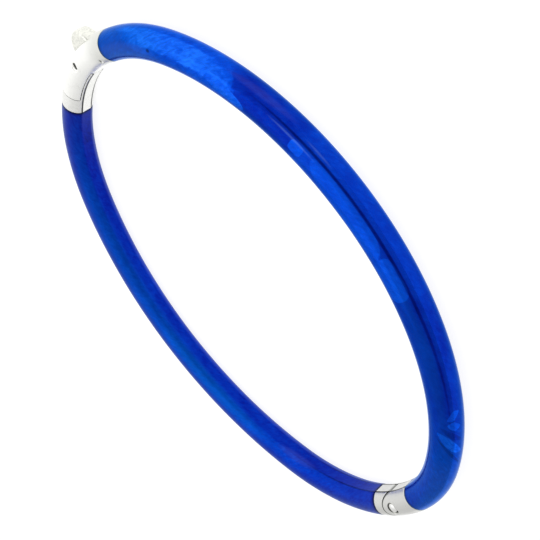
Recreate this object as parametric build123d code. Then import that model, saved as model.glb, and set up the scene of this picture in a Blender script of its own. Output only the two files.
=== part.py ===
from build123d import *
import os
from math import atan2, cos, degrees, radians, sin, sqrt

# ---------------------------------------------------------------------------
# Driving dimensions, in millimetres and degrees.
# The bangle lies flat: its oval is in the XY plane, the clasp is at +X, the
# hinge at -X, the front half on the -Y side and the back half on the +Y side.
# ---------------------------------------------------------------------------

# oval centre line of the tube: tangent arcs, two ends and one side for each half
HALF_LENGTH = 31.0
FRONT_DEPTH = 26.75
BACK_DEPTH = 25.35
CLASP_END_RADIUS = 23.45
HINGE_END_RADIUS = 21.6

# directions, seen from each end arc's centre, where the enamel stops
FRONT_CLASP_BORDER = 16.4
BACK_CLASP_BORDER = 21.0
FRONT_HINGE_BORDER = 11.6
BACK_HINGE_BORDER = 7.7

# D-shaped section: round outside and flat on the side next to the wrist
TUBE_RADIUS = 1.85
FLAT_OFFSET = 1.71
ENAMEL_THICKNESS = 0.35
CORE_WALL = 0.4
PLUG_LENGTH = 3.0

# clasp: its centre line stands a little outside the oval at mid length
CLASP_BULGE = 0.25
SEAM_ALONG = 6.2
SEAM_GAP = 0.06
CHANNEL_HALF_WIDTH = 1.0
TONGUE_HALF_WIDTH = 0.93
TONGUE_TIP = -0.5
TONGUE_TOP = -0.35
TONGUE_NECK = -0.9
TIP_GAP = 0.2
FLOOR_OUT = -0.85
CEILING_OUT = 1.3

# press lever, its pivot and its leaf spring
PIVOT_ALONG = 0.3
PIVOT_OUT = 0.25
LEVER_PIN_RADIUS = 0.42
PIN_RECESS_RADIUS = 0.6
PIN_RECESS_DEPTH = 0.2
LEVER_PIN_SETBACK = 0.1
RUNNING_CLEARANCE = 0.03
LEVER_HALF_WIDTH = 0.92
BOSS_RADIUS = 0.85
ARM_BOTTOM = -0.1
ARM_TOP = 0.4
HOOK_START = 3.18
HOOK_END = 3.95
HOOK_BOTTOM = -0.8
HOOK_PLAY = 0.1
BARB_START = 1.6
RAMP_END = 2.7
TAB_ALONG = -1.95
TAB_OUT = 1.1
TAB_HALF_LENGTH = 2.05
TAB_CROWN = 2.187
TAB_EDGE_ROUND = 0.45
TAB_SKIRT = 0.6
TAB_BASE_START = -3.7
TAB_BASE_OUT = 0.4
TAB_BASE_TOP = 1.1
SLOT_START = -4.2
SLOT_END = 0.95
CAVITY_START = -5.4
SPRING_PIN_ALONG = -5.3
SPRING_PIN_OUT = -1.2
SPRING_PIN_RADIUS = 0.2
SPRING_PIN_END = 1.28
SPRING_RECESS_RADIUS = 0.34
SPRING_RECESS_DEPTH = 0.1
SPRING_THICKNESS = 0.1
SPRING_HALF_WIDTH = 0.7
SPRING_SIDE_GAP = 0.08
SPRING_REACH = -2.6
SPRING_GAP = 0.03
SPRING_EYE_GAP = 0.1

# hinge: round-nosed fork on the front half, lug and socket on the back half
HINGE_PIN_ALONG = 0.4
HINGE_PIN_OUT = 0.1
HINGE_PIN_RADIUS = 0.6
HINGE_HEAD_RADIUS = 0.75
HINGE_RECESS_RADIUS = 0.85
HINGE_RECESS_DEPTH = 0.3
HINGE_PIN_SETBACK = 0.05
NOSE_RADIUS = 1.75
NOSE_GAP = 0.06
COLLAR_GAP = 0.1
STOP_GAP = 0.1
LUG_HALF_WIDTH = 0.57
LUG_GAP = 0.05
OPEN_ANGLE = 42.0
OPEN_MARGIN = 2.5

# axes of the three cross pins as (along, out) places, as in Bend
LEVER_PIVOT = (PIVOT_ALONG, PIVOT_OUT)
SPRING_PIN = (SPRING_PIN_ALONG, SPRING_PIN_OUT)
HINGE_PIN = (HINGE_PIN_ALONG, HINGE_PIN_OUT)

# cutting tools: extra length past a face, past the tube wall, and past a whole fitting
SPARE = 1.0
PAST_WALL = 4.0
BIG = 20.0


# ---------------------------------------------------------------------------
# Geometry of the centre line
# ---------------------------------------------------------------------------


class Bend:
    """A circular stretch of centre line about an axis parallel to Z.

    A place on it is `along`, the arc length anticlockwise from the facing
    direction, and `out`, the distance outside the centre line.
    """

    def __init__(self, x, y, radius, facing=0.0):
        self.x = x
        self.y = y
        self.radius = radius
        self.facing = facing

    def angle(self, along):
        return self.facing + degrees(along / self.radius)

    def place(self, along, out=0.0):
        """Local frame there: X points outwards and Y runs along the tube."""
        turn = Pos(self.x, self.y, 0) * Rot(0, 0, self.angle(along))
        return turn * Pos(self.radius + out, 0, 0)

    def sweep(self, section, start, stop):
        """Carry an XZ section along the bend between two directions in degrees."""
        moved = Pos(self.radius, 0, 0) * section
        solid = revolve(moved, Axis.Z, revolution_arc=stop - start)
        return Pos(self.x, self.y, 0) * Rot(0, 0, start) * solid

    def tube(self, section, start, stop):
        """Carry a section between two places given as arc lengths."""
        return self.sweep(section, self.angle(start), self.angle(stop))

    def block(self, start, stop, low, high, bottom, top):
        """A curved block between two lengths, two offsets and two heights."""
        middle = Pos((low + high) / 2, (bottom + top) / 2)
        section = Plane.XZ * middle * Rectangle(high - low, top - bottom)
        return self.tube(section, start, stop)

    def rod(self, along, out, radius, bottom, top):
        """A round rod parallel to Z."""
        height = top - bottom
        level = Pos(0, 0, bottom + height / 2)
        return self.place(along, out) * level * Cylinder(radius, height)

    def strip(self, first, last, thickness, half_width):
        """A straight leaf between two (along, out) places."""
        a = self.place(*first).position
        b = self.place(*last).position
        span = b - a
        middle = (a + b) / 2
        turn = degrees(atan2(span.Y, span.X))
        return Pos(middle) * Rot(0, 0, turn) * Box(span.length, thickness, 2 * half_width)


def d_face(radius, flat):
    """D-shaped section in the XZ plane, flat towards -X, in an upper and a lower arc."""
    half_flat = sqrt(radius**2 - flat**2)
    upper = ThreePointArc((-flat, half_flat), (0, radius), (radius, 0))
    lower = ThreePointArc((radius, 0), (0, -radius), (-flat, -half_flat))
    flat_side = Line((-flat, -half_flat), (-flat, half_flat))
    return Plane.XZ * make_face([upper, lower, flat_side])


def side_bend(depth):
    """The arc that touches both end arcs and reaches `depth` from the long axis."""
    clasp_x = HALF_LENGTH - CLASP_END_RADIUS
    hinge_x = HALF_LENGTH - HINGE_END_RADIUS
    clasp_drop = depth - CLASP_END_RADIUS
    hinge_drop = depth - HINGE_END_RADIUS
    clasp_term = clasp_x**2 + depth**2 - CLASP_END_RADIUS**2
    hinge_term = hinge_x**2 + depth**2 - HINGE_END_RADIUS**2
    lead = CLASP_END_RADIUS - HINGE_END_RADIUS
    slope = clasp_x * hinge_drop + hinge_x * clasp_drop
    rest = clasp_term * hinge_drop - hinge_term * clasp_drop
    x = rest / (slope + sqrt(slope**2 - lead * rest))
    radius = (x**2 - 2 * x * clasp_x + clasp_term) / (2 * clasp_drop)
    return Bend(x, depth - radius, radius)


clasp_end = Bend(HALF_LENGTH - CLASP_END_RADIUS, 0, CLASP_END_RADIUS)
hinge_end = Bend(HINGE_END_RADIUS - HALF_LENGTH, 0, HINGE_END_RADIUS, facing=180)


def half_tube(section, depth, clasp_border, hinge_border):
    """Carry a section round one half, drawn on the +Y side of the long axis."""
    side = side_bend(depth)
    clasp_turn = degrees(atan2(-side.y, clasp_end.x - side.x))
    hinge_turn = degrees(atan2(-side.y, hinge_end.x - side.x))
    first = clasp_end.sweep(section, clasp_border, clasp_turn)
    middle = side.sweep(section, clasp_turn, hinge_turn)
    last = hinge_end.sweep(section, hinge_turn, 180 - hinge_border)
    return first + middle + last


def front_half_tube(section):
    tube = half_tube(section, FRONT_DEPTH, FRONT_CLASP_BORDER, FRONT_HINGE_BORDER)
    return mirror(tube, about=Plane.XZ)


def back_half_tube(section):
    return half_tube(section, BACK_DEPTH, BACK_CLASP_BORDER, BACK_HINGE_BORDER)


def clasp_bend():
    """The clasp's own centre line: through both enamel borders, and bulging between."""
    front = clasp_end.place(-radians(FRONT_CLASP_BORDER) * CLASP_END_RADIUS).position
    back = clasp_end.place(radians(BACK_CLASP_BORDER) * CLASP_END_RADIUS).position
    half_chord = (back - front).length / 2
    half_turn = radians(FRONT_CLASP_BORDER + BACK_CLASP_BORDER) / 2
    rise = CLASP_END_RADIUS * (1 - cos(half_turn)) + CLASP_BULGE
    radius = (half_chord**2 + rise**2) / (2 * rise)
    middle_turn = radians(BACK_CLASP_BORDER - FRONT_CLASP_BORDER) / 2
    chord_middle = (front + back) / 2
    back_off = radius - rise
    x = chord_middle.X - back_off * cos(middle_turn)
    y = chord_middle.Y - back_off * sin(middle_turn)
    return Bend(x, y, radius)


clasp = clasp_bend()


def border(end, turn):
    """Arc length along an end arc from the long axis to an enamel border."""
    return radians(turn) * end.radius


FRONT_CLASP_ALONG = -border(clasp_end, FRONT_CLASP_BORDER)
BACK_CLASP_ALONG = border(clasp_end, BACK_CLASP_BORDER)
FRONT_HINGE_ALONG = border(hinge_end, FRONT_HINGE_BORDER)
BACK_HINGE_ALONG = -border(hinge_end, BACK_HINGE_BORDER)

OUTER_D = d_face(TUBE_RADIUS, FLAT_OFFSET)
CORE_RADIUS = TUBE_RADIUS - ENAMEL_THICKNESS
CORE_FLAT = FLAT_OFFSET - ENAMEL_THICKNESS
CORE_D = d_face(CORE_RADIUS, CORE_FLAT)
BORE_D = d_face(CORE_RADIUS - CORE_WALL, CORE_FLAT - CORE_WALL)


def beyond(bend, along, side):
    """Everything past a radial plane: side is +1 anticlockwise, -1 clockwise."""
    return bend.place(along) * Pos(0, side * BIG / 2, 0) * Box(BIG, BIG, BIG)


def both_ends(bend, place, radius, low, high):
    """Two equal rods on one axis, mirrored in the middle plane."""
    upper = bend.rod(*place, radius, low, high)
    lower = bend.rod(*place, radius, -high, -low)
    return upper + lower


# ---------------------------------------------------------------------------
# Tubes
# ---------------------------------------------------------------------------


def make_front_enamel():
    return front_half_tube(OUTER_D - CORE_D)


def make_back_enamel():
    return back_half_tube(OUTER_D - CORE_D)


def make_front_core_tube():
    return front_half_tube(CORE_D - BORE_D)


def make_back_core_tube():
    return back_half_tube(CORE_D - BORE_D)


def plug(end, along, side):
    """The solid peg that a fitting pushes into the bore of its tube."""
    stop = along + side * PLUG_LENGTH
    return end.tube(BORE_D, min(along, stop), max(along, stop))


# ---------------------------------------------------------------------------
# Clasp
# ---------------------------------------------------------------------------


def make_clasp_housing():
    body = clasp.tube(OUTER_D, FRONT_CLASP_ALONG - SPARE, SEAM_ALONG - SEAM_GAP)
    body -= beyond(clasp_end, FRONT_CLASP_ALONG, -1)
    body += plug(clasp_end, FRONT_CLASP_ALONG, -1)
    wide = CHANNEL_HALF_WIDTH
    body -= clasp.block(TONGUE_TIP - TIP_GAP, SEAM_ALONG + SPARE, -PAST_WALL, CEILING_OUT, -wide, wide)
    body -= clasp.block(CAVITY_START, SEAM_ALONG, FLOOR_OUT, CEILING_OUT, -wide, wide)
    body -= clasp.block(SLOT_START, SLOT_END, 0, PAST_WALL, -wide, wide)
    eye = SPRING_PIN_RADIUS + SPRING_THICKNESS + SPRING_EYE_GAP
    pocket = SPRING_HALF_WIDTH + SPRING_SIDE_GAP
    body -= clasp.rod(*SPRING_PIN, eye, -pocket, pocket)
    body -= clasp.rod(*SPRING_PIN, SPRING_PIN_RADIUS, -BIG, BIG)
    recess = SPRING_PIN_END - SPRING_RECESS_DEPTH
    body -= both_ends(clasp, SPRING_PIN, SPRING_RECESS_RADIUS, recess, BIG)
    body -= clasp.rod(*LEVER_PIVOT, LEVER_PIN_RADIUS, -BIG, BIG)
    recess = TUBE_RADIUS - PIN_RECESS_DEPTH
    return body - both_ends(clasp, LEVER_PIVOT, PIN_RECESS_RADIUS, recess, BIG)


def make_clasp_tongue():
    body = clasp.tube(OUTER_D, SEAM_ALONG, BACK_CLASP_ALONG + SPARE)
    body -= beyond(clasp_end, BACK_CLASP_ALONG, 1)
    body += plug(clasp_end, BACK_CLASP_ALONG, 1)
    wide = TONGUE_HALF_WIDTH
    root = SEAM_ALONG + SPARE
    inner = -TUBE_RADIUS
    blade = clasp.block(TONGUE_TIP, root, inner, TONGUE_NECK, -wide, wide)
    blade += clasp.block(BARB_START, HOOK_START - HOOK_PLAY, TONGUE_NECK, TONGUE_TOP, -wide, wide)
    blade += clasp.block(HOOK_END + HOOK_PLAY, root, TONGUE_NECK, TONGUE_TOP, -wide, wide)
    blade -= ramp()
    return body + (blade & clasp.tube(OUTER_D, TONGUE_TIP - SPARE, root + SPARE))


def ramp():
    """The slope that lifts the hook as the tongue slides in."""
    rise = TONGUE_TOP - TONGUE_NECK
    run = RAMP_END - BARB_START
    slope = degrees(atan2(rise, run))
    waste = Pos(SPARE / 2, run / 2, 0) * Box(SPARE, run, BIG)
    return clasp.place(BARB_START, TONGUE_NECK) * Rot(0, 0, -slope) * waste


def thumb_tab():
    """The domed tab on straight sides, with X outwards and Y along the tube."""
    crown = Ellipse(TAB_CROWN, TAB_HALF_LENGTH)
    crown -= Pos(-BIG / 2, 0, 0) * Rectangle(BIG, BIG)
    skirt = Pos(-TAB_SKIRT / 2, 0, 0) * Rectangle(TAB_SKIRT, 2 * TAB_HALF_LENGTH)
    tab = extrude(crown + skirt, amount=LEVER_HALF_WIDTH, both=True)
    rims = tab.edges().filter_by(GeomType.ELLIPSE)
    return fillet(rims, TAB_EDGE_ROUND)


def make_clasp_lever():
    wide = LEVER_HALF_WIDTH
    body = clasp.rod(*LEVER_PIVOT, BOSS_RADIUS, -wide, wide)
    body += clasp.block(PIVOT_ALONG, HOOK_END, ARM_BOTTOM, ARM_TOP, -wide, wide)
    body += clasp.block(HOOK_START, HOOK_END, HOOK_BOTTOM, ARM_TOP, -wide, wide)
    body += clasp.block(TAB_BASE_START, PIVOT_ALONG, TAB_BASE_OUT, TAB_BASE_TOP, -wide, wide)
    body += clasp.place(TAB_ALONG, TAB_OUT) * thumb_tab()
    return body - clasp.rod(*LEVER_PIVOT, LEVER_PIN_RADIUS + RUNNING_CLEARANCE, -BIG, BIG)


def make_lever_pin():
    end = TUBE_RADIUS - LEVER_PIN_SETBACK
    return clasp.rod(*LEVER_PIVOT, LEVER_PIN_RADIUS, -end, end)


def make_spring_pin():
    end = SPRING_PIN_END
    return clasp.rod(*SPRING_PIN, SPRING_PIN_RADIUS, -end, end)


def make_lever_spring():
    wide = SPRING_HALF_WIDTH
    eye = SPRING_PIN_RADIUS + SPRING_THICKNESS
    leaf = clasp.rod(*SPRING_PIN, eye, -wide, wide)
    root = (SPRING_PIN_ALONG, SPRING_PIN_OUT + eye - SPRING_THICKNESS / 2)
    tip = (SPRING_REACH, TAB_BASE_OUT - SPRING_GAP - SPRING_THICKNESS)
    leaf += clasp.strip(root, tip, SPRING_THICKNESS, wide)
    return leaf - clasp.rod(*SPRING_PIN, SPRING_PIN_RADIUS, -BIG, BIG)


# ---------------------------------------------------------------------------
# Hinge
# ---------------------------------------------------------------------------


def hinge_rod(radius, bottom, top):
    return hinge_end.rod(*HINGE_PIN, radius, bottom, top)


def make_hinge_fork():
    nose = hinge_rod(NOSE_RADIUS, -BIG, BIG) + beyond(hinge_end, HINGE_PIN_ALONG, 1)
    body = hinge_end.tube(OUTER_D, HINGE_PIN_ALONG - NOSE_RADIUS - SPARE, FRONT_HINGE_ALONG) & nose
    body += plug(hinge_end, FRONT_HINGE_ALONG, 1)
    slot = LUG_HALF_WIDTH + LUG_GAP
    body -= hinge_rod(NOSE_RADIUS + NOSE_GAP, -slot, slot)
    body -= hinge_rod(HINGE_PIN_RADIUS, -BIG, BIG)
    recess = TUBE_RADIUS - HINGE_RECESS_DEPTH
    return body - both_ends(hinge_end, HINGE_PIN, HINGE_RECESS_RADIUS, recess, BIG)


def opening_relief():
    """The wedge that the front half swings into as it opens."""
    turn = OPEN_ANGLE + OPEN_MARGIN
    pin = hinge_end.place(*HINGE_PIN)
    half_space = Box(2 * BIG, BIG, BIG)
    far_side = pin * Pos(0, -BIG / 2, 0) * half_space
    near_edge = pin * Rot(0, 0, -turn) * Pos(0, BIG / 2, 0) * half_space
    outer = pin * Pos(BIG / 2, 0, 0) * Box(BIG, 2 * BIG, BIG)
    return far_side & near_edge & outer


def make_hinge_knuckle():
    collar = hinge_end.tube(OUTER_D, BACK_HINGE_ALONG, HINGE_PIN_ALONG)
    collar -= hinge_rod(NOSE_RADIUS + COLLAR_GAP, -BIG, BIG)
    collar -= opening_relief()
    reach = HINGE_PIN_ALONG + NOSE_RADIUS + SPARE
    lug = hinge_end.tube(OUTER_D, BACK_HINGE_ALONG, reach)
    lug &= hinge_rod(BIG, -LUG_HALF_WIDTH, LUG_HALF_WIDTH)
    behind = beyond(hinge_end, HINGE_PIN_ALONG - STOP_GAP, -1) - opening_relief()
    lug &= hinge_rod(NOSE_RADIUS, -BIG, BIG) + behind
    body = collar + lug + plug(hinge_end, BACK_HINGE_ALONG, -1)
    return body - hinge_rod(HINGE_PIN_RADIUS + RUNNING_CLEARANCE, -BIG, BIG)


def make_hinge_pin():
    end = TUBE_RADIUS - HINGE_PIN_SETBACK
    recess = TUBE_RADIUS - HINGE_RECESS_DEPTH
    shaft = hinge_rod(HINGE_PIN_RADIUS, -recess, recess)
    return shaft + both_ends(hinge_end, HINGE_PIN, HINGE_HEAD_RADIUS, recess, end)


# ---------------------------------------------------------------------------
# Put the origin at the centre of the base and write the files
# ---------------------------------------------------------------------------


def main():
    nodes = {
        "front_core_tube": make_front_core_tube(),
        "front_enamel": make_front_enamel(),
        "back_core_tube": make_back_core_tube(),
        "back_enamel": make_back_enamel(),
        "clasp_housing": make_clasp_housing(),
        "clasp_tongue": make_clasp_tongue(),
        "clasp_lever": make_clasp_lever(),
        "lever_pin": make_lever_pin(),
        "lever_spring": make_lever_spring(),
        "spring_pin": make_spring_pin(),
        "hinge_fork": make_hinge_fork(),
        "hinge_knuckle": make_hinge_knuckle(),
        "hinge_pin": make_hinge_pin(),
    }
    box = Compound(list(nodes.values())).bounding_box()
    centre = box.center()
    base = Pos(-centre.X, -centre.Y, -box.min.Z)
    os.makedirs("parts", exist_ok=True)
    for name, solid in nodes.items():
        placed = base * solid
        placed.label = name
        export_step(placed, f"parts/{name}.step")
    hinge_place = (base * hinge_end.place(*HINGE_PIN)).position
    lever_place = (base * clasp.place(*LEVER_PIVOT)).position
    print("centre of the oval", tuple(base.position))
    print("hinge axis", tuple(hinge_place))
    print("lever axis", tuple(lever_place))
    print("size", tuple(box.size))


main()
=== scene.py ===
import math

import bpy
from mathutils import Matrix, Vector, noise


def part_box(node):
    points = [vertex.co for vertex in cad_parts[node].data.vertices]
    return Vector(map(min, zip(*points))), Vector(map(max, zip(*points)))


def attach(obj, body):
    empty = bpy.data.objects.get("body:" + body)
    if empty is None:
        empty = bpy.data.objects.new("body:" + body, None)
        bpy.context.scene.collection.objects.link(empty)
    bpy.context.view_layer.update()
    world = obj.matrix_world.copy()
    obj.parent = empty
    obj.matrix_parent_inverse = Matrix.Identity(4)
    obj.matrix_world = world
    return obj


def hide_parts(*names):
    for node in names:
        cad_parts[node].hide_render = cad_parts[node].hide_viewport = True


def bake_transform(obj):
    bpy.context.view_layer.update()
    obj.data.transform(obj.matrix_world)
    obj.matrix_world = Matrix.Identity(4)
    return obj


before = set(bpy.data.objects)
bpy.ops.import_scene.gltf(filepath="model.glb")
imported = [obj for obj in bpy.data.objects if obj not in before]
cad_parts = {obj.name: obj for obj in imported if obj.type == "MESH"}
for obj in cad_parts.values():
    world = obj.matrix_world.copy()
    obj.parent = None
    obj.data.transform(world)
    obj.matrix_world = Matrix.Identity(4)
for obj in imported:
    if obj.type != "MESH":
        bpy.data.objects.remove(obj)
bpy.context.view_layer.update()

MM = 0.001

# ---------------------------------------------------------------------------
# The bangle's centre line and section, in millimetres and degrees, as in the
# CAD source: the clasp is at +X, the hinge at -X and the front half at -Y.
# ---------------------------------------------------------------------------

HALF_LENGTH = 31.0
FRONT_DEPTH = 26.75
BACK_DEPTH = 25.35
CLASP_END_RADIUS = 23.45
HINGE_END_RADIUS = 21.6
FRONT_CLASP_BORDER = 16.4
BACK_CLASP_BORDER = 21.0
FRONT_HINGE_BORDER = 11.6
BACK_HINGE_BORDER = 7.7
TUBE_RADIUS = 1.85
FLAT_OFFSET = 1.71
ENAMEL_THICKNESS = 0.35
OVAL_CENTRE = Vector((-0.79214, 0.7, 1.85))

# mesh density and the small irregularities of hand-laid enamel; FLAT_SIDE is the least inward
# share of a direction, from the tube's axis, at which the flat is looked for
RING_STEP = 0.3
RING_POINTS = 112
INNER_STEP = 1.0
LIP_RADIUS = 0.09
LIP_STEPS = 4
CREASE_SOFTNESS = 0.012
FLAT_SIDE = 0.5
WAVE_DEPTH = 0.014
WAVE_LENGTH = 4.5


def side_arc(depth):
    """The arc (x, y, radius) that touches both end arcs and reaches depth from the long axis."""
    clasp_x = HALF_LENGTH - CLASP_END_RADIUS
    hinge_x = HALF_LENGTH - HINGE_END_RADIUS
    clasp_drop = depth - CLASP_END_RADIUS
    hinge_drop = depth - HINGE_END_RADIUS
    clasp_term = clasp_x**2 + depth**2 - CLASP_END_RADIUS**2
    hinge_term = hinge_x**2 + depth**2 - HINGE_END_RADIUS**2
    lead = CLASP_END_RADIUS - HINGE_END_RADIUS
    slope = clasp_x * hinge_drop + hinge_x * clasp_drop
    rest = clasp_term * hinge_drop - hinge_term * clasp_drop
    x = rest / (slope + math.sqrt(slope**2 - lead * rest))
    radius = (x**2 - 2 * x * clasp_x + clasp_term) / (2 * clasp_drop)
    return x, depth - radius, radius


class CentreLine:
    """One half of the oval, from the clasp border to the hinge border, by arc length."""

    def __init__(self, depth, clasp_border, hinge_border, side):
        clasp_x = HALF_LENGTH - CLASP_END_RADIUS
        hinge_x = HINGE_END_RADIUS - HALF_LENGTH
        x, y, radius = side_arc(depth)
        clasp_turn = math.degrees(math.atan2(-y, clasp_x - x))
        hinge_turn = math.degrees(math.atan2(-y, hinge_x - x))
        self.side = side
        self.arcs = [
            (clasp_x, 0, CLASP_END_RADIUS, clasp_border, clasp_turn),
            (x, y, radius, clasp_turn, hinge_turn),
            (hinge_x, 0, HINGE_END_RADIUS, hinge_turn, 180 - hinge_border),
        ]
        self.lengths = [math.radians(stop - start) * r for _, _, r, start, stop in self.arcs]
        self.length = sum(self.lengths)

    def place(self, along):
        """Point and outward direction at that distance from the clasp border."""
        for (x, y, radius, start, _), length in zip(self.arcs, self.lengths):
            if along <= length:
                break
            along -= length
        else:
            along += length
        turn = math.radians(start) + along / radius
        out = Vector((math.cos(turn), self.side * math.sin(turn), 0))
        return Vector((x, self.side * y, 0)) + radius * out, out


def mesh_object(name, points, faces, place=None):
    """A smooth-shaded mesh in metres from points in millimetres."""
    mesh = bpy.data.meshes.new(name)
    mesh.from_pydata([p * MM for p in points], [], faces)
    mesh.polygons.foreach_set("use_smooth", [True] * len(faces))
    if place:
        mesh.attributes.new("tube_place", "FLOAT_VECTOR", "POINT")
        flat = [value for p in place for value in p]
        mesh.attributes["tube_place"].data.foreach_set("vector", flat)
    mesh.update()
    obj = bpy.data.objects.new(name, mesh)
    bpy.context.scene.collection.objects.link(obj)
    return obj


# ---------------------------------------------------------------------------
# Enamel sleeves
# ---------------------------------------------------------------------------


def d_radius(angle, radius, flat):
    """Distance from the tube's axis to its D-shaped outline, with a softened crease."""
    inward = -math.cos(angle)
    if inward <= FLAT_SIDE:
        return radius
    to_flat = flat / inward
    gap = abs(radius - to_flat) / CREASE_SOFTNESS
    return min(radius, to_flat) - CREASE_SOFTNESS * math.log1p(math.exp(-gap))


def lip_profile(length):
    """(distance along, inset) of the rings: a rounded lip at each end and even rings between."""
    quarter = math.pi / 2 / LIP_STEPS
    lip = [
        (LIP_RADIUS * (1 - math.cos(k * quarter)), LIP_RADIUS * (1 - math.sin(k * quarter)))
        for k in range(LIP_STEPS + 1)
    ]
    count = round((length - 2 * LIP_RADIUS) / RING_STEP)
    step = (length - 2 * LIP_RADIUS) / count
    middle = [(LIP_RADIUS + k * step, 0) for k in range(1, count)]
    return lip + middle + [(length - along, inset) for along, inset in reversed(lip)]


def enamel_sleeve(name, line):
    """The glassy sleeve of one half: outer wall with soft waves, lips, and plain inner wall."""
    points = []
    place = []
    for along, inset in lip_profile(line.length):
        centre, out = line.place(along)
        for k in range(RING_POINTS):
            angle = 2 * math.pi * k / RING_POINTS
            seat = Vector((along, math.cos(angle), math.sin(angle)))
            spot = Vector((along, TUBE_RADIUS * seat.y, TUBE_RADIUS * seat.z))
            wave = WAVE_DEPTH * (0.5 + 0.5 * noise.noise(spot / WAVE_LENGTH))
            reach = d_radius(angle, TUBE_RADIUS, FLAT_OFFSET) - inset - max(wave, 0)
            points.append(OVAL_CENTRE + centre + reach * (seat.y * out + Vector((0, 0, seat.z))))
            place.append((along, reach * seat.y, reach * seat.z))
    outer_rings = len(points) // RING_POINTS
    inner_rings = round(line.length / INNER_STEP)
    for ring in range(inner_rings + 1):
        along = line.length * (1 - ring / inner_rings)
        centre, out = line.place(along)
        for k in range(RING_POINTS):
            angle = 2 * math.pi * k / RING_POINTS
            inner = d_radius(angle, TUBE_RADIUS - ENAMEL_THICKNESS, FLAT_OFFSET - ENAMEL_THICKNESS)
            y, z = inner * math.cos(angle), inner * math.sin(angle)
            points.append(OVAL_CENTRE + centre + y * out + Vector((0, 0, z)))
            place.append((along, y, z))
    rings = outer_rings + inner_rings + 1
    faces = []
    for ring in range(rings):
        first = ring * RING_POINTS
        second = (ring + 1) % rings * RING_POINTS
        for k in range(RING_POINTS):
            after = (k + 1) % RING_POINTS
            quad = (first + k, first + after, second + after, second + k)
            faces.append(quad if line.side > 0 else quad[::-1])
    return mesh_object(name, points, faces, place)


# ---------------------------------------------------------------------------
# Cast silver parts, softened from the CAD solids
# ---------------------------------------------------------------------------

# the bends at the clasp and at the hinge: x, y, radius, and 1 or -1 for which way they face along X
CLASP_ARC = (11.4937, 0.1477, 19.7508, 1)
HINGE_ARC = (HINGE_END_RADIUS - HALF_LENGTH, 0.0, HINGE_END_RADIUS, -1)

# mesh cell and rounds of smoothing, in millimetres, for the castings and for the thin leaf spring
CASTING = (0.045, 8)
LEAF = (0.025, 1)
WELD_REACH = 0.0005
SMOOTH_SHARE = 0.5


def tube_place(points, x, y, radius, facing):
    """(along, out, height) of each point from a bend of the centre line, all in millimetres."""
    placed = []
    for point in points:
        local = point - OVAL_CENTRE - Vector((x, y, 0))
        reach = math.hypot(local.x, local.y)
        turn = math.atan2(facing * local.y, facing * local.x)
        placed.append((turn * radius, reach - radius, local.z))
    return placed


def cast_part(node, name, voxel, polish, bend):
    """The CAD node's shape with its sharp edges rounded, as on a cast and polished part."""
    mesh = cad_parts[node].data.copy()
    mesh.transform(Matrix.Scale(1 / MM, 4))
    obj = bpy.data.objects.new(name, mesh)
    bpy.context.scene.collection.objects.link(obj)
    weld = obj.modifiers.new("weld", "WELD")
    weld.merge_threshold = WELD_REACH
    remesh = obj.modifiers.new("remesh", "REMESH")
    remesh.mode = "VOXEL"
    remesh.voxel_size = voxel
    smooth = obj.modifiers.new("smooth", "SMOOTH")
    smooth.factor = SMOOTH_SHARE
    smooth.iterations = polish
    bpy.context.view_layer.update()
    graph = bpy.context.evaluated_depsgraph_get()
    made = bpy.data.meshes.new_from_object(obj.evaluated_get(graph))
    obj.modifiers.clear()
    obj.data = made
    made.name = name
    placed = tube_place([v.co for v in made.vertices], *bend)
    made.attributes.new("tube_place", "FLOAT_VECTOR", "POINT")
    made.attributes["tube_place"].data.foreach_set("vector", [c for p in placed for c in p])
    made.transform(Matrix.Scale(MM, 4))
    made.materials.clear()
    made.polygons.foreach_set("use_smooth", [True] * len(made.polygons))
    return obj


# ---------------------------------------------------------------------------
# Cross pins
# ---------------------------------------------------------------------------

# mesh density and the straight side of a dome; the pins' sizes are in millimetres
PIN_POINTS = 48
DOME_STEPS = 8
DOME_SIDE = 0.05
HINGE_RIVET = {"shaft": 0.6, "head": 0.6, "end": 1.83, "rise": 0.25, "lean": (0.1, 0.1)}
LEVER_RIVET = {"shaft": 0.42, "head": 0.3, "end": 1.46, "rise": 0.14, "lean": (0, 0)}
SPRING_RIVET = {"shaft": 0.2, "head": 0.2, "end": 1.27, "rise": 0.08, "lean": (0, 0)}


def domed_pin(name, axis, shaft, head, end, rise, lean):
    """A cross pin parallel to Z through that axis, with a hand-peened dome at each end.

    `shaft` and `head` are radii and `end` is half the length. The dome stands `rise`
    above its rim, and `lean` is how far it sits off the axis.
    """
    rim = end - rise
    profile = []
    for k in range(DOME_STEPS):
        swing = math.pi / 2 * (k + 1) / DOME_STEPS
        profile.append((head * math.sin(swing), end - rise * (1 - math.cos(swing)), 1))
    profile += [(head, rim - DOME_SIDE, 1), (shaft, rim - 2 * DOME_SIDE, 0)]
    profile += [(radius, -height, share) for radius, height, share in reversed(profile)]
    centre = Vector((*axis, OVAL_CENTRE.z))
    offset = Vector((*lean, 0))
    points = [centre + offset + Vector((0, 0, end))]
    for radius, height, share in profile:
        for k in range(PIN_POINTS):
            angle = 2 * math.pi * k / PIN_POINTS
            ring = Vector((radius * math.cos(angle), radius * math.sin(angle), height))
            points.append(centre + share * offset + ring)
    points.append(centre + offset - Vector((0, 0, end)))
    faces = [(0, 1 + k, 1 + (k + 1) % PIN_POINTS) for k in range(PIN_POINTS)]
    for ring in range(len(profile) - 1):
        first = 1 + ring * PIN_POINTS
        for k in range(PIN_POINTS):
            after = (k + 1) % PIN_POINTS
            faces.append((first + k, first + PIN_POINTS + k, first + PIN_POINTS + after, first + after))
    first = 1 + (len(profile) - 1) * PIN_POINTS
    last = len(points) - 1
    faces += [(last, first + (k + 1) % PIN_POINTS, first + k) for k in range(PIN_POINTS)]
    return mesh_object(name, points, faces)


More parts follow.
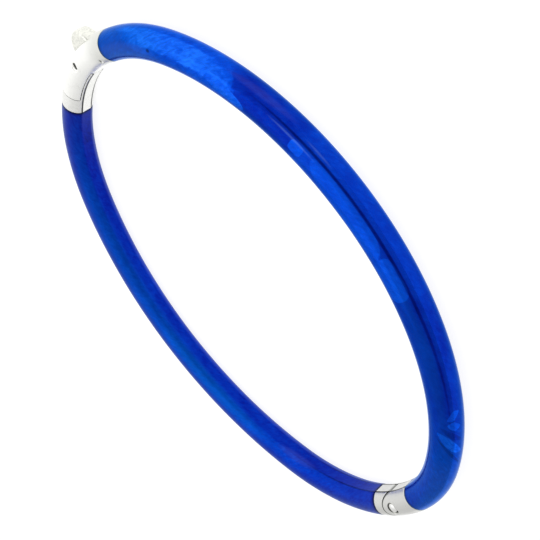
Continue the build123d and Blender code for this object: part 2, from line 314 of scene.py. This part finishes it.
# ---------------------------------------------------------------------------
# Node trees
# ---------------------------------------------------------------------------

# a Mix node has sockets of the same name for each kind of data: these are the ones for colour
MIX_COLOUR_A = 6
MIX_COLOUR_B = 7
MIX_COLOUR_RESULT = 2


class Nodes:
    """A short way to write a node tree."""

    def __init__(self, tree):
        self.tree = tree

    def node(self, kind, **settings):
        made = self.tree.nodes.new("ShaderNode" + kind)
        for key, value in settings.items():
            setattr(made, key, value)
        return made

    def link(self, source, target):
        self.tree.links.new(source, target)

    def feed(self, value, target):
        """A socket is linked to the target, and a plain value is set on it."""
        if isinstance(value, bpy.types.NodeSocket):
            self.link(value, target)
        else:
            target.default_value = value

    def math(self, operation, a, b=0.0, c=0.0):
        made = self.node("Math", operation=operation)
        for value, target in zip((a, b, c), made.inputs):
            self.feed(value, target)
        return made.outputs[0]

    def ramp(self, value, low, high, to_low=0.0, to_high=1.0):
        """to_low up to low, to_high from high on, and a smooth step between."""
        made = self.node("MapRange", interpolation_type="SMOOTHSTEP")
        self.feed(value, made.inputs["Value"])
        made.inputs["From Min"].default_value = low
        made.inputs["From Max"].default_value = high
        made.inputs["To Min"].default_value = to_low
        made.inputs["To Max"].default_value = to_high
        return made.outputs["Result"]

    def blend(self, share, a, b):
        """a where share is 0 and b where it is 1, for plain values."""
        made = self.node("Mix", data_type="FLOAT")
        self.feed(share, made.inputs["Factor"])
        self.feed(a, made.inputs["A"])
        self.feed(b, made.inputs["B"])
        return made.outputs["Result"]

    def tint(self, share, colour, over):
        """The plain colour `over` laid on `colour` with that share."""
        made = self.node("Mix", data_type="RGBA")
        self.feed(share, made.inputs["Factor"])
        self.link(colour, made.inputs[MIX_COLOUR_A])
        made.inputs[MIX_COLOUR_B].default_value = (*over, 1)
        return made.outputs[MIX_COLOUR_RESULT]

    def noise(self, place, scale, detail=2.0, roughness=0.5, distortion=0.0):
        made = self.node("TexNoise")
        self.link(place, made.inputs["Vector"])
        made.inputs["Scale"].default_value = scale
        made.inputs["Detail"].default_value = detail
        made.inputs["Roughness"].default_value = roughness
        made.inputs["Distortion"].default_value = distortion
        return made.outputs["Fac"]

    def stretch(self, place, factors):
        made = self.node("VectorMath", operation="MULTIPLY")
        self.link(place, made.inputs[0])
        made.inputs[1].default_value = factors
        return made.outputs[0]

    def colours(self, value, *stops):
        """A colour ramp through (position, colour) stops."""
        made = self.node("ValToRGB")
        self.feed(value, made.inputs["Fac"])
        elements = made.color_ramp.elements
        elements[0].position, elements[0].color = stops[0][0], (*stops[0][1], 1)
        elements[1].position, elements[1].color = stops[-1][0], (*stops[-1][1], 1)
        for position, colour in stops[1:-1]:
            elements.new(position).color = (*colour, 1)
        return made.outputs["Color"]

    def bump(self, height, strength, distance):
        made = self.node("Bump")
        self.link(height, made.inputs["Height"])
        made.inputs["Strength"].default_value = strength
        made.inputs["Distance"].default_value = distance
        return made.outputs["Normal"]


# degrees round the tube from the inward direction to the crease where the flat ends
CREASE_ANGLE = 22.4


class Surface(Nodes):
    """A material and its shader."""

    def __init__(self, name):
        self.material = bpy.data.materials.new(name)
        self.material.use_nodes = True
        super().__init__(self.material.node_tree)
        self.shader = self.tree.nodes["Principled BSDF"]

    def set(self, **values):
        """Shader inputs by name, with _ for a space; each is a socket or a plain value."""
        for name, value in values.items():
            self.feed(value, self.shader.inputs[name.replace("_", " ")])

    def read_place(self):
        """Take up the place of each point on the tube: along, out and height, in millimetres."""
        self.place = self.node("Attribute", attribute_name="tube_place").outputs["Vector"]
        split = self.node("SeparateXYZ")
        self.link(self.place, split.inputs[0])
        self.along, self.out, self.height = split.outputs

    def from_crease(self):
        """Degrees round the tube between a point and the nearer crease."""
        inward = self.math("MULTIPLY", self.out, -1.0)
        turn = self.math("ARCTAN2", self.math("ABSOLUTE", self.height), inward)
        return self.math("ABSOLUTE", self.math("SUBTRACT", self.math("DEGREES", turn), CREASE_ANGLE))


# ---------------------------------------------------------------------------
# Enamel
# ---------------------------------------------------------------------------

# linear colour of the enamel over foil, from the darkest level to the brightest
ENAMEL_COLOURS = (
    (0.0, (0.0004, 0.003, 0.14)),
    (0.25, (0.0006, 0.012, 0.32)),
    (0.5, (0.0008, 0.036, 0.47)),
    (0.75, (0.0016, 0.076, 0.7)),
    (1.0, (0.012, 0.17, 1.0)),
)
# milky enamel, also used for a painted sheen; teal; and a pale colour for painted glints
MILK_AND_SHEEN = (0.35, 0.38, 0.72)
TEAL = (0.0, 0.13, 0.42)
GLINT_COLOUR = (0.25, 0.45, 0.85)
# near-black of the painted shade lines along the crease and at the lip by the silver
SHADE_LINE_COLOUR = (0.001, 0.006, 0.03)

# broad clouds in the foil, and its fine wrinkles, which slant across the tube
CLOUD_STRETCH = (0.22, 0.6, 0.6)
CLOUD_DEPTH = 0.35
WRINKLE_SLANT = 0.035
WRINKLE_ALONG = 1.8
WRINKLE_ACROSS = 0.06

# millimetres from the silver over which the lip has painted shade, and over which its painted dark line
# fades
LIP_SHADE = (0.15, 0.8)
LIP_LEVEL = 0.1
LIP_LINE = (0.12, 0.32)
LIP_LINE_DEPTH = 0.75

# degrees from the crease over which painted shade darkens it, and over which its painted dark line fades
CREASE_SHADE = (1.0, 5.0)
CREASE_LINE = (1.5, 4.0)
# millimetres from the hinge over which the painted dark crease line fades
CREASE_LINE_HINGE_REACH = (5.0, 18.0)

# the front half's foil is smoothest in its middle: where that is, and how far off it ends
SMOOTH_MIDDLE = 40.0
SMOOTH_REACH = (16.0, 26.0)

# a thin clear gloss over the enamel
COAT_WEIGHT = 0.06
COAT_ROUGHNESS = 0.03
COAT_IOR = 1.35


class Foil(Surface):
    """Enamel over silver foil: a brightness level built up from patches, then coloured clouds.

    `angle` goes round the tube in degrees, from the direction that `facing` gives (1 is
    outward and -1 inward) up over the top.
    """

    def __init__(self, name, length, facing, roughness, edge_tint):
        super().__init__(name)
        self.set(Roughness=roughness, Specular_Tint=(*edge_tint, 1))
        self.read_place()
        self.length = length
        sideways = self.math("MULTIPLY", self.out, facing)
        self.angle = self.math("DEGREES", self.math("ARCTAN2", self.height, sideways))
        self.wobble = self.noise(self.place, scale=0.9, detail=3.0, roughness=0.6)
        self.level = 0.5
        self.clouds = []

    def mask(self, along, half_length, angle, half_angle, slant=0.0, corner=4.0, soft=0.1, ragged=0.6):
        """1 inside a rounded patch centred there, with an uneven edge; slant is in mm per degree."""
        off_angle = self.math("SUBTRACT", self.angle, angle)
        off_along = self.math("SUBTRACT", self.along, along)
        off_along = self.math("MULTIPLY_ADD", off_angle, slant, off_along)
        a = self.math("ABSOLUTE", self.math("DIVIDE", off_along, half_length))
        b = self.math("ABSOLUTE", self.math("DIVIDE", off_angle, half_angle))
        reach = self.math("ADD", self.math("POWER", a, corner), self.math("POWER", b, corner))
        reach = self.math("MULTIPLY_ADD", self.math("SUBTRACT", self.wobble, 0.5), ragged, reach)
        return self.ramp(reach, 1 - soft, 1 + soft, 1.0, 0.0)

    def patch(self, level, **where):
        """Set the level inside a patch."""
        self.level = self.blend(self.mask(**where), self.level, level)

    def streak(self, change, **where):
        """Raise or lower the level inside a patch."""
        self.level = self.math("MULTIPLY_ADD", self.mask(**where), change, self.level)

    def cloud(self, colour, strength, **where):
        """Lay a soft cloud of a colour over the foil."""
        mask = self.mask(soft=0.9, ragged=0.3, **where)
        self.clouds.append((self.math("MULTIPLY", mask, strength), colour))

    def drift(self, *stops):
        """The level along the tube, smoothly from one (along, level) stop to the next."""
        level = stops[0][1]
        for (start, _), (stop, value) in zip(stops, stops[1:]):
            level = self.blend(self.ramp(self.along, start, stop), level, value)
        self.level = level

    def grain(self, wrinkles):
        """Add the clouds and the wrinkles of the foil to the level."""
        cloudy = self.noise(
            self.stretch(self.place, CLOUD_STRETCH), scale=1.0, detail=3.0, roughness=0.55, distortion=0.8
        )
        slanted = self.math("MULTIPLY_ADD", self.angle, WRINKLE_SLANT, self.along)
        place = self.node("CombineXYZ")
        self.link(self.math("MULTIPLY", slanted, WRINKLE_ALONG), place.inputs["X"])
        self.link(self.math("MULTIPLY", self.angle, WRINKLE_ACROSS), place.inputs["Y"])
        wrinkled = self.noise(
            place.outputs["Vector"], scale=1.0, detail=3.0, roughness=0.65, distortion=0.4
        )
        level = self.math("MULTIPLY_ADD", self.math("SUBTRACT", cloudy, 0.5), CLOUD_DEPTH, self.level)
        self.level = self.math("MULTIPLY_ADD", self.math("SUBTRACT", wrinkled, 0.5), wrinkles, level)

    def finish(self, crease_shade, hinge_crease, wrinkles):
        """Grain, painted shade in the crease and on the lip at the silver, and the colour itself.

        crease_shade is painted shade along the whole crease, and hinge_crease a painted dark line along it
        near the hinge.
        """
        self.grain(wrinkles)
        from_crease = self.from_crease()
        from_hinge = self.math("SUBTRACT", self.length, self.along)
        from_silver = self.math("MINIMUM", self.along, from_hinge)
        # painted shade: the level drops along the crease and at the lip by the silver, and dark shade lines
        # are laid on both
        level = self.math("ADD", self.level, self.ramp(from_crease, *CREASE_SHADE, -crease_shade, 0.0))
        level = self.math("MULTIPLY", level, self.ramp(from_silver, *LIP_SHADE, LIP_LEVEL, 1.0))
        crease_line_near_hinge = self.ramp(from_hinge, *CREASE_LINE_HINGE_REACH, hinge_crease, 0.0)
        line = self.math("MULTIPLY", self.ramp(from_crease, *CREASE_LINE, 1.0, 0.0), crease_line_near_hinge)
        line = self.math("MAXIMUM", line, self.ramp(from_silver, *LIP_LINE, LIP_LINE_DEPTH, 0.0))
        colour = self.colours(level, *ENAMEL_COLOURS)
        for share, cloud_colour in self.clouds:
            colour = self.tint(share, colour, cloud_colour)
        self.set(
            Base_Color=self.tint(line, colour, SHADE_LINE_COLOUR),
            Metallic=1.0,
            Coat_Weight=COAT_WEIGHT,
            Coat_Roughness=COAT_ROUGHNESS,
            Coat_IOR=COAT_IOR,
        )
        return self.material


def lay_front_foil(foil):
    """The pieces of foil under the front half's enamel, from the clasp to the hinge, and a painted dark
    reflection along the middle.
    """
    foil.drift(
        (0.0, 0.48), (6.0, 0.54), (19.0, 0.6), (22.0, 0.35), (28.5, 0.38), (30.0, 0.54),
        (46.0, 0.46), (48.0, 0.38), (60.0, 0.4), (68.0, 0.48), (76.0, 0.46),
    )
    # the long bright sheet by the clasp, its brightest part and its pointed end
    foil.patch(0.66, along=12.0, half_length=8.4, angle=30.0, half_angle=75.0, slant=-0.035, ragged=1.0)
    foil.patch(
        0.86, along=12.6, half_length=7.6, angle=44.0, half_angle=34.0, slant=-0.035, soft=0.6, ragged=1.6
    )
    foil.patch(0.75, along=20.2, half_length=2.4, angle=82.0, half_angle=24.0, slant=-0.06, corner=1.8)
    # three sheets along the middle, and a dimmer one outside them
    foil.patch(0.72, along=29.5, half_length=0.8, angle=66.0, half_angle=18.0)
    foil.patch(0.68, along=37.0, half_length=5.3, angle=72.0, half_angle=32.0, slant=-0.03)
    foil.patch(0.7, along=44.6, half_length=2.3, angle=72.0, half_angle=34.0)
    foil.patch(0.47, along=43.5, half_length=3.6, angle=0.0, half_angle=30.0)
    # torn slivers by the hinge, bright and dark
    foil.patch(0.72, along=60.7, half_length=0.6, angle=26.0, half_angle=22.0, slant=-0.02, corner=1.4)
    foil.patch(0.72, along=62.1, half_length=0.6, angle=26.0, half_angle=22.0, slant=0.01, corner=1.4)
    foil.patch(0.25, along=63.3, half_length=0.5, angle=36.0, half_angle=38.0, slant=0.03, corner=1.6)
    foil.patch(0.8, along=64.6, half_length=0.9, angle=42.0, half_angle=42.0, slant=0.035, corner=1.5)
    foil.patch(0.2, along=66.0, half_length=0.35, angle=42.0, half_angle=40.0, slant=0.05, corner=1.6)
    # a dark pit near the clasp, and the dark line along the middle, a painted dark reflection of the gap in
    # the light tent
    foil.patch(0.1, along=9.2, half_length=0.25, angle=83.0, half_angle=6.0, corner=2.0)
    foil.streak(
        -0.22, along=43.0, half_length=17.0, angle=38.0, half_angle=5.0, corner=2.0, soft=0.6, ragged=0.3
    )


def front_enamel_material(length):
    foil = Foil("front_enamel_glass", length, facing=1.0, roughness=0.2, edge_tint=(0.5, 0.7, 0.95))
    lay_front_foil(foil)
    # painted highlights: a soft milky sheen and two thin pale glints, reflections of lights laid into the
    # enamel's colour
    foil.cloud(MILK_AND_SHEEN, 0.033, along=23.8, half_length=3.4, angle=14.0, half_angle=12.0, slant=0.1, corner=2.0)
    foil.cloud(GLINT_COLOUR, 0.12, along=28.5, half_length=2.6, angle=51.0, half_angle=3.0, corner=2.0)
    foil.cloud(GLINT_COLOUR, 0.09, along=31.4, half_length=1.4, angle=25.0, half_angle=3.0, corner=2.0)
    foil.cloud(MILK_AND_SHEEN, 0.015, along=0.0, half_length=4.5, angle=60.0, half_angle=120.0, corner=3.0)
    foil.cloud(MILK_AND_SHEEN, 0.06, along=4.5, half_length=5.0, angle=105.0, half_angle=32.0, corner=2.0)
    foil.cloud(MILK_AND_SHEEN, 0.03, along=78.0, half_length=9.0, angle=80.0, half_angle=120.0, corner=3.0)
    foil.cloud(TEAL, 0.22, along=3.0, half_length=7.0, angle=70.0, half_angle=80.0, corner=2.0)
    foil.cloud(TEAL, 0.15, along=53.0, half_length=8.0, angle=66.0, half_angle=22.0, corner=2.0)
    foil.cloud(TEAL, 0.2, along=70.0, half_length=8.0, angle=60.0, half_angle=34.0, corner=2.0)
    from_middle = foil.math("ABSOLUTE", foil.math("SUBTRACT", foil.along, SMOOTH_MIDDLE))
    wrinkles = foil.ramp(from_middle, *SMOOTH_REACH, 0.35, 0.7)
    return foil.finish(crease_shade=0.2, hinge_crease=0.9, wrinkles=wrinkles)


def back_enamel_material(length):
    foil = Foil("back_enamel_glass", length, facing=-1.0, roughness=0.38, edge_tint=(0.85, 0.95, 1.0))
    foil.drift((0.0, 0.3), (14.0, 0.38), (30.0, 0.44), (50.0, 0.44), (70.0, 0.4), (76.0, 0.36))
    foil.streak(-0.04, along=4.0, half_length=11.0, angle=6.0, half_angle=22.0, corner=2.0, soft=0.8)
    foil.streak(0.12, along=36.0, half_length=34.0, angle=44.0, half_angle=28.0, corner=2.0, soft=0.9)
    foil.streak(-0.08, along=40.0, half_length=44.0, angle=0.0, half_angle=22.0, corner=6.0, soft=0.9)
    foil.cloud(TEAL, 0.22, along=32.0, half_length=24.0, angle=56.0, half_angle=42.0, corner=2.0)
    foil.cloud(TEAL, 0.2, along=46.0, half_length=9.0, angle=44.0, half_angle=24.0, corner=2.0)
    foil.cloud(MILK_AND_SHEEN, 0.04, along=62.3, half_length=2.8, angle=25.0, half_angle=16.0, slant=0.04, corner=2.0)
    foil.cloud(MILK_AND_SHEEN, 0.006, along=77.0, half_length=8.0, angle=20.0, half_angle=120.0, corner=3.0)
    return foil.finish(crease_shade=0.05, hinge_crease=0.5, wrinkles=0.55)


# ---------------------------------------------------------------------------
# Silver
# ---------------------------------------------------------------------------

# near-black of painted shade in gaps, the crease and the hinge's seams, also the colour of small worn
# spots; and the half-dark silver between
SHADE_AND_GRIME = (0.03, 0.03, 0.028)
SHADED_AND_WORN_SILVER = (0.6, 0.61, 0.57)
SILVER_ROUGHNESS = (0.24, 0.4)

# how far the painted shade of a gap darkens the metal around it, in metres, and how open a spot is when
# fully shaded and when unshaded
GAP_REACH = 0.0005
GAP_RAYS = 16
GAP_OPENING = (0.4, 0.85)

# noise scales per metre of the soft tone, the polishing scuffs and the worn spots
TONE_SCALE = 900.0
SCUFF_STRETCH = (4000.0, 4000.0, 900.0)
SPOT_SCALE = 3500.0
SPOT_SHARE = (0.36, 0.56)
SCUFF_DEPTH = 0.00002

# degrees from the crease over which its painted dark shade line fades
SILVER_CREASE = (2.0, 4.4)
# millimetres along the clasp bend over which the silver turns darker towards the enamel end
DARKER_END = (-6.6, -2.6)

# the hinge: place of its pin on the tube and radius of its round nose, in millimetres
PIN_ALONG = 0.4
PIN_OUT = 0.1
NOSE_RADIUS = 1.75

# painted shade at the hinge's seams and round its pin, each as the places in millimetres where it is full
# and where it ends
FLAT_FACE = (-1.68, -1.55)
FLAT_SEAM = (0.06, 0.2)
NOSE_SEAM = (0.08, 0.2)
NOSE_SIDE = (-0.2, 0.1)
NOSE_SHADE = 0.7
PIN_RING = (0.64, 0.86)
PIN_OUTSIDE = (0.1, 0.5)
PIN_SHADE = 0.8


def hinge_seam_shade(n):
    """1 where painted shade falls: the seam across the flat, the seam round the nose, and outside the pin;
    the seams are modelled, their darkness is painted.
    """
    along = n.math("SUBTRACT", n.along, PIN_ALONG)
    out = n.math("SUBTRACT", n.out, PIN_OUT)
    squares = n.math("ADD", n.math("MULTIPLY", along, along), n.math("MULTIPLY", out, out))
    from_pin = n.math("SQRT", squares)
    on_flat = n.ramp(n.out, *FLAT_FACE, 1.0, 0.0)
    flat_seam = n.math("MULTIPLY", n.ramp(n.math("ABSOLUTE", along), *FLAT_SEAM, 1.0, 0.0), on_flat)
    from_seam = n.math("ABSOLUTE", n.math("SUBTRACT", from_pin, NOSE_RADIUS))
    behind = n.ramp(along, *NOSE_SIDE, NOSE_SHADE, 0.0)
    nose_seam = n.math("MULTIPLY", n.ramp(from_seam, *NOSE_SEAM, 1.0, 0.0), behind)
    outside = n.ramp(out, *PIN_OUTSIDE, 0.0, PIN_SHADE)
    round_pin = n.math("MULTIPLY", n.ramp(from_pin, *PIN_RING, 1.0, 0.0), outside)
    return n.math("MAXIMUM", n.math("MAXIMUM", flat_seam, nose_seam), round_pin)


def silver_material(
    name, shine, blue_share=0.97, crease_depth=0.0, end_darkening=0.0, seam_depth=0.0, mottle=0.0
):
    """Cast silver of that shine, with painted shade in its gaps.

    The depths are shares of the light lost: painted shade in the crease of the tube and in
    the hinge's seams, a darkening towards the enamel end of the clasp, and small worn spots.
    """
    n = Surface(name)
    n.read_place()
    place = n.node("TexCoord").outputs["Object"]
    tone = n.noise(place, scale=TONE_SCALE, detail=3.0, roughness=0.6)
    scuff = n.noise(n.stretch(place, SCUFF_STRETCH), scale=1.0, detail=4.0, roughness=0.6)
    # painted shade: ambient occlusion darkens the metal in its gaps
    gap = n.node("AmbientOcclusion", samples=GAP_RAYS)
    gap.inputs["Distance"].default_value = GAP_REACH
    unshaded_and_clean = n.ramp(gap.outputs["AO"], *GAP_OPENING)
    unshaded_and_clean = n.math("MULTIPLY", unshaded_and_clean, n.ramp(tone, 0.1, 0.5, 0.9, 1.0))
    # painted shade along the crease
    unshaded_and_clean = n.math("MULTIPLY", unshaded_and_clean, n.ramp(n.from_crease(), *SILVER_CREASE, 1.0 - crease_depth, 1.0))
    if mottle:
        spots = n.noise(place, scale=SPOT_SCALE, detail=4.0, roughness=0.7)
        unshaded_and_clean = n.math("MULTIPLY", unshaded_and_clean, n.ramp(spots, *SPOT_SHARE, 1.0 - mottle, 1.0))
    if end_darkening:
        unshaded_and_clean = n.math("MULTIPLY", unshaded_and_clean, n.ramp(n.along, *DARKER_END, 1.0 - end_darkening, 1.0))
    if seam_depth:
        # painted shade in the hinge's seams and round its pin
        seam_shade_share = n.math("MULTIPLY", hinge_seam_shade(n), seam_depth)
        unshaded_and_clean = n.math("MULTIPLY", unshaded_and_clean, n.math("SUBTRACT", 1.0, seam_shade_share))
    bright = (shine, shine, blue_share * shine)
    uneven = n.math("ADD", tone, n.math("MULTIPLY", scuff, 0.3))
    n.set(
        Base_Color=n.colours(unshaded_and_clean, (0.0, SHADE_AND_GRIME), (0.6, SHADED_AND_WORN_SILVER), (1.0, bright)),
        Metallic=1.0,
        Roughness=n.ramp(uneven, 0.3, 0.9, *SILVER_ROUGHNESS),
        Normal=n.bump(scuff, strength=0.08, distance=SCUFF_DEPTH),
    )
    return n.material


def pin_material():
    """Drawn silver wire, brighter and smoother than the castings."""
    n = Surface("pin_silver")
    place = n.node("TexCoord").outputs["Object"]
    tone = n.noise(place, scale=2500.0, detail=3.0, roughness=0.6)
    n.set(
        Base_Color=n.colours(tone, (0.3, (0.8, 0.8, 0.78)), (0.7, (0.95, 0.95, 0.93))),
        Metallic=1.0,
        Roughness=n.ramp(tone, 0.3, 0.7, 0.12, 0.25),
    )
    return n.material


# ---------------------------------------------------------------------------
# Camera, floor and light
# ---------------------------------------------------------------------------

# the camera's place in millimetres, its right, up and back directions, and its lens
CAMERA_PLACE = Vector((6.7926, -107.8664, 59.7389))
CAMERA_RIGHT = Vector((-0.57624941, -0.43351024, -0.69282429))
CAMERA_UP = Vector((0.81485847, -0.23963202, -0.52780884))
CAMERA_BACK = Vector((0.06278765, -0.86870327, 0.4913373))
LENS = 71.15
SENSOR = 36.0
CLIP = (0.001, 20.0)

FLOOR_REACH = 4000.0
FLOOR_GLOW = 0.9

# the light tent is dimmer on the hinge side, with a dark gap in front at one elevation in degrees
HINGE_SIDE_RADIANCE = 0.7
CLASP_SIDE_RADIANCE = 1.12
DARK_RADIANCE = 0.4
DARK_ELEVATION = 39.0
DARK_BAND = (0.05, 0.18)
DARK_FRONT = (-0.62, -0.35)


def add_camera():
    data = bpy.data.cameras.new("camera")
    data.lens = LENS
    data.sensor_width = SENSOR
    data.clip_start, data.clip_end = CLIP
    camera = bpy.data.objects.new("camera", data)
    turn = Matrix((CAMERA_RIGHT, CAMERA_UP, CAMERA_BACK)).transposed().to_4x4()
    camera.matrix_world = Matrix.Translation(CAMERA_PLACE * MM) @ turn
    bpy.context.scene.collection.objects.link(camera)
    bpy.context.scene.camera = camera


def floor_material():
    """A white table that glows a little, so that it stays plain under the piece."""
    n = Surface("floor")
    soft = n.noise(n.node("TexCoord").outputs["Object"], scale=6.0)
    n.set(
        Base_Color=n.colours(soft, (0.3, (0.2, 0.2, 0.2)), (0.7, (0.22, 0.22, 0.22))),
        Roughness=0.9,
        Specular_IOR_Level=0.1,
        Emission_Color=(1, 1, 1, 1),
        Emission_Strength=FLOOR_GLOW,
    )
    return n.material


def add_floor():
    corners = ((-1, -1), (1, -1), (1, 1), (-1, 1))
    points = [Vector((x * FLOOR_REACH, y * FLOOR_REACH, 0)) for x, y in corners]
    floor = mesh_object("floor", points, [(0, 1, 2, 3)])
    floor.data.materials.append(floor_material())


def add_softbox(name, place, target, width, height, radiance):
    """A soft rectangular light whose face has that radiance; lengths are in metres."""
    data = bpy.data.lights.new(name, "AREA")
    data.shape = "RECTANGLE"
    data.size = width
    data.size_y = height
    data.energy = radiance * math.pi * width * height
    light = bpy.data.objects.new(name, data)
    light.location = place
    light.rotation_mode = "QUATERNION"
    light.rotation_quaternion = (Vector(target) - Vector(place)).to_track_quat("-Z", "Y")
    bpy.context.scene.collection.objects.link(light)


def add_tent():
    """The light tent all round, which the camera itself sees as plain white."""
    world = bpy.data.worlds.new("studio")
    world.use_nodes = True
    bpy.context.scene.world = world
    n = Nodes(world.node_tree)
    split = n.node("SeparateXYZ")
    n.link(n.node("TexCoord").outputs["Generated"], split.inputs[0])
    dark_height = math.sin(math.radians(DARK_ELEVATION))
    from_dark = n.math("ABSOLUTE", n.math("SUBTRACT", split.outputs["Z"], dark_height))
    band = n.ramp(from_dark, *DARK_BAND, 1.0, 0.0)
    front = n.ramp(split.outputs["Y"], *DARK_FRONT, 1.0, 0.0)
    wall = n.ramp(split.outputs["X"], -1.0, 1.0, HINGE_SIDE_RADIANCE, CLASP_SIDE_RADIANCE)
    lit = n.blend(n.math("MULTIPLY", band, front), wall, DARK_RADIANCE)
    background = n.tree.nodes["Background"]
    background.inputs["Color"].default_value = (1, 1, 1, 1)
    seen = n.node("LightPath").outputs["Is Camera Ray"]
    n.link(n.blend(seen, lit, 1.0), background.inputs["Strength"])


# ---------------------------------------------------------------------------
# Assembly
# ---------------------------------------------------------------------------


def finish_piece(piece, body, node, material):
    """Paint a piece, and put it on its body in place of its CAD node."""
    piece.data.materials.append(material)
    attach(piece, body)
    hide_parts(node)


def paint_node(node, material):
    """A CAD node that keeps its shape gets the material in every slot of its mesh."""
    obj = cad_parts[node]
    obj.data.materials.clear()
    obj.data.materials.append(material)


def leaf_spring(material):
    """The leaf under the thumb tab, from its pinned eye to its tip, baked in place as one fixed piece."""
    spring = cast_part("lever_spring", "leaf_spring", *LEAF, CLASP_ARC)
    spring.data.materials.append(material)
    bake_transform(spring)
    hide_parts("lever_spring")


bpy.context.scene.view_settings.view_transform = "Standard"
bpy.context.scene.view_settings.look = "None"

add_camera()
add_floor()
add_tent()
add_softbox("overhead", place=(0.1, 0.1, 0.5), target=(0, 0, 0), width=0.6, height=0.5, radiance=0.25)

front_line = CentreLine(FRONT_DEPTH, FRONT_CLASP_BORDER, FRONT_HINGE_BORDER, -1)
back_line = CentreLine(BACK_DEPTH, BACK_CLASP_BORDER, BACK_HINGE_BORDER, 1)
front_enamel = enamel_sleeve("front_enamel_sleeve", front_line)
back_enamel = enamel_sleeve("back_enamel_sleeve", back_line)
front_glass = front_enamel_material(front_line.length)
back_glass = back_enamel_material(back_line.length)
finish_piece(front_enamel, "front_half", "front_enamel", front_glass)
finish_piece(back_enamel, "back_half", "back_enamel", back_glass)

plain_silver = silver_material("plain_silver", shine=1.0, end_darkening=0.25)
tongue_silver = silver_material("creased_silver", shine=0.92, crease_depth=1.0, mottle=0.1)
# the hinge is the same silver as the housing, drawn darker as painted shade
hinge_silver = silver_material("hinge_silver", shine=0.68, crease_depth=1.0, seam_depth=0.95)
lever_silver = silver_material("lever_silver", shine=0.92, blue_share=0.92, mottle=0.22)
pin_silver = pin_material()

for node, body, bend, silver in (
    ("clasp_housing", "front_half", CLASP_ARC, plain_silver),
    ("clasp_tongue", "back_half", CLASP_ARC, tongue_silver),
    ("clasp_lever", "lever", CLASP_ARC, lever_silver),
    ("hinge_fork", "front_half", HINGE_ARC, hinge_silver),
    ("hinge_knuckle", "back_half", HINGE_ARC, hinge_silver),
):
    part = cast_part(node, node + "_cast", *CASTING, bend)
    finish_piece(part, body, node, silver)
for node, name, sizes in (
    ("hinge_pin", "hinge_rivet", HINGE_RIVET),
    ("lever_pin", "lever_rivet", LEVER_RIVET),
    ("spring_pin", "spring_rivet", SPRING_RIVET),
):
    low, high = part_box(node)
    axis = [(low[k] + high[k]) / 2 / MM for k in (0, 1)]
    finish_piece(domed_pin(name, axis, **sizes), "front_half", node, pin_silver)
leaf_spring(pin_silver)
paint_node("front_core_tube", plain_silver)
paint_node("back_core_tube", plain_silver)
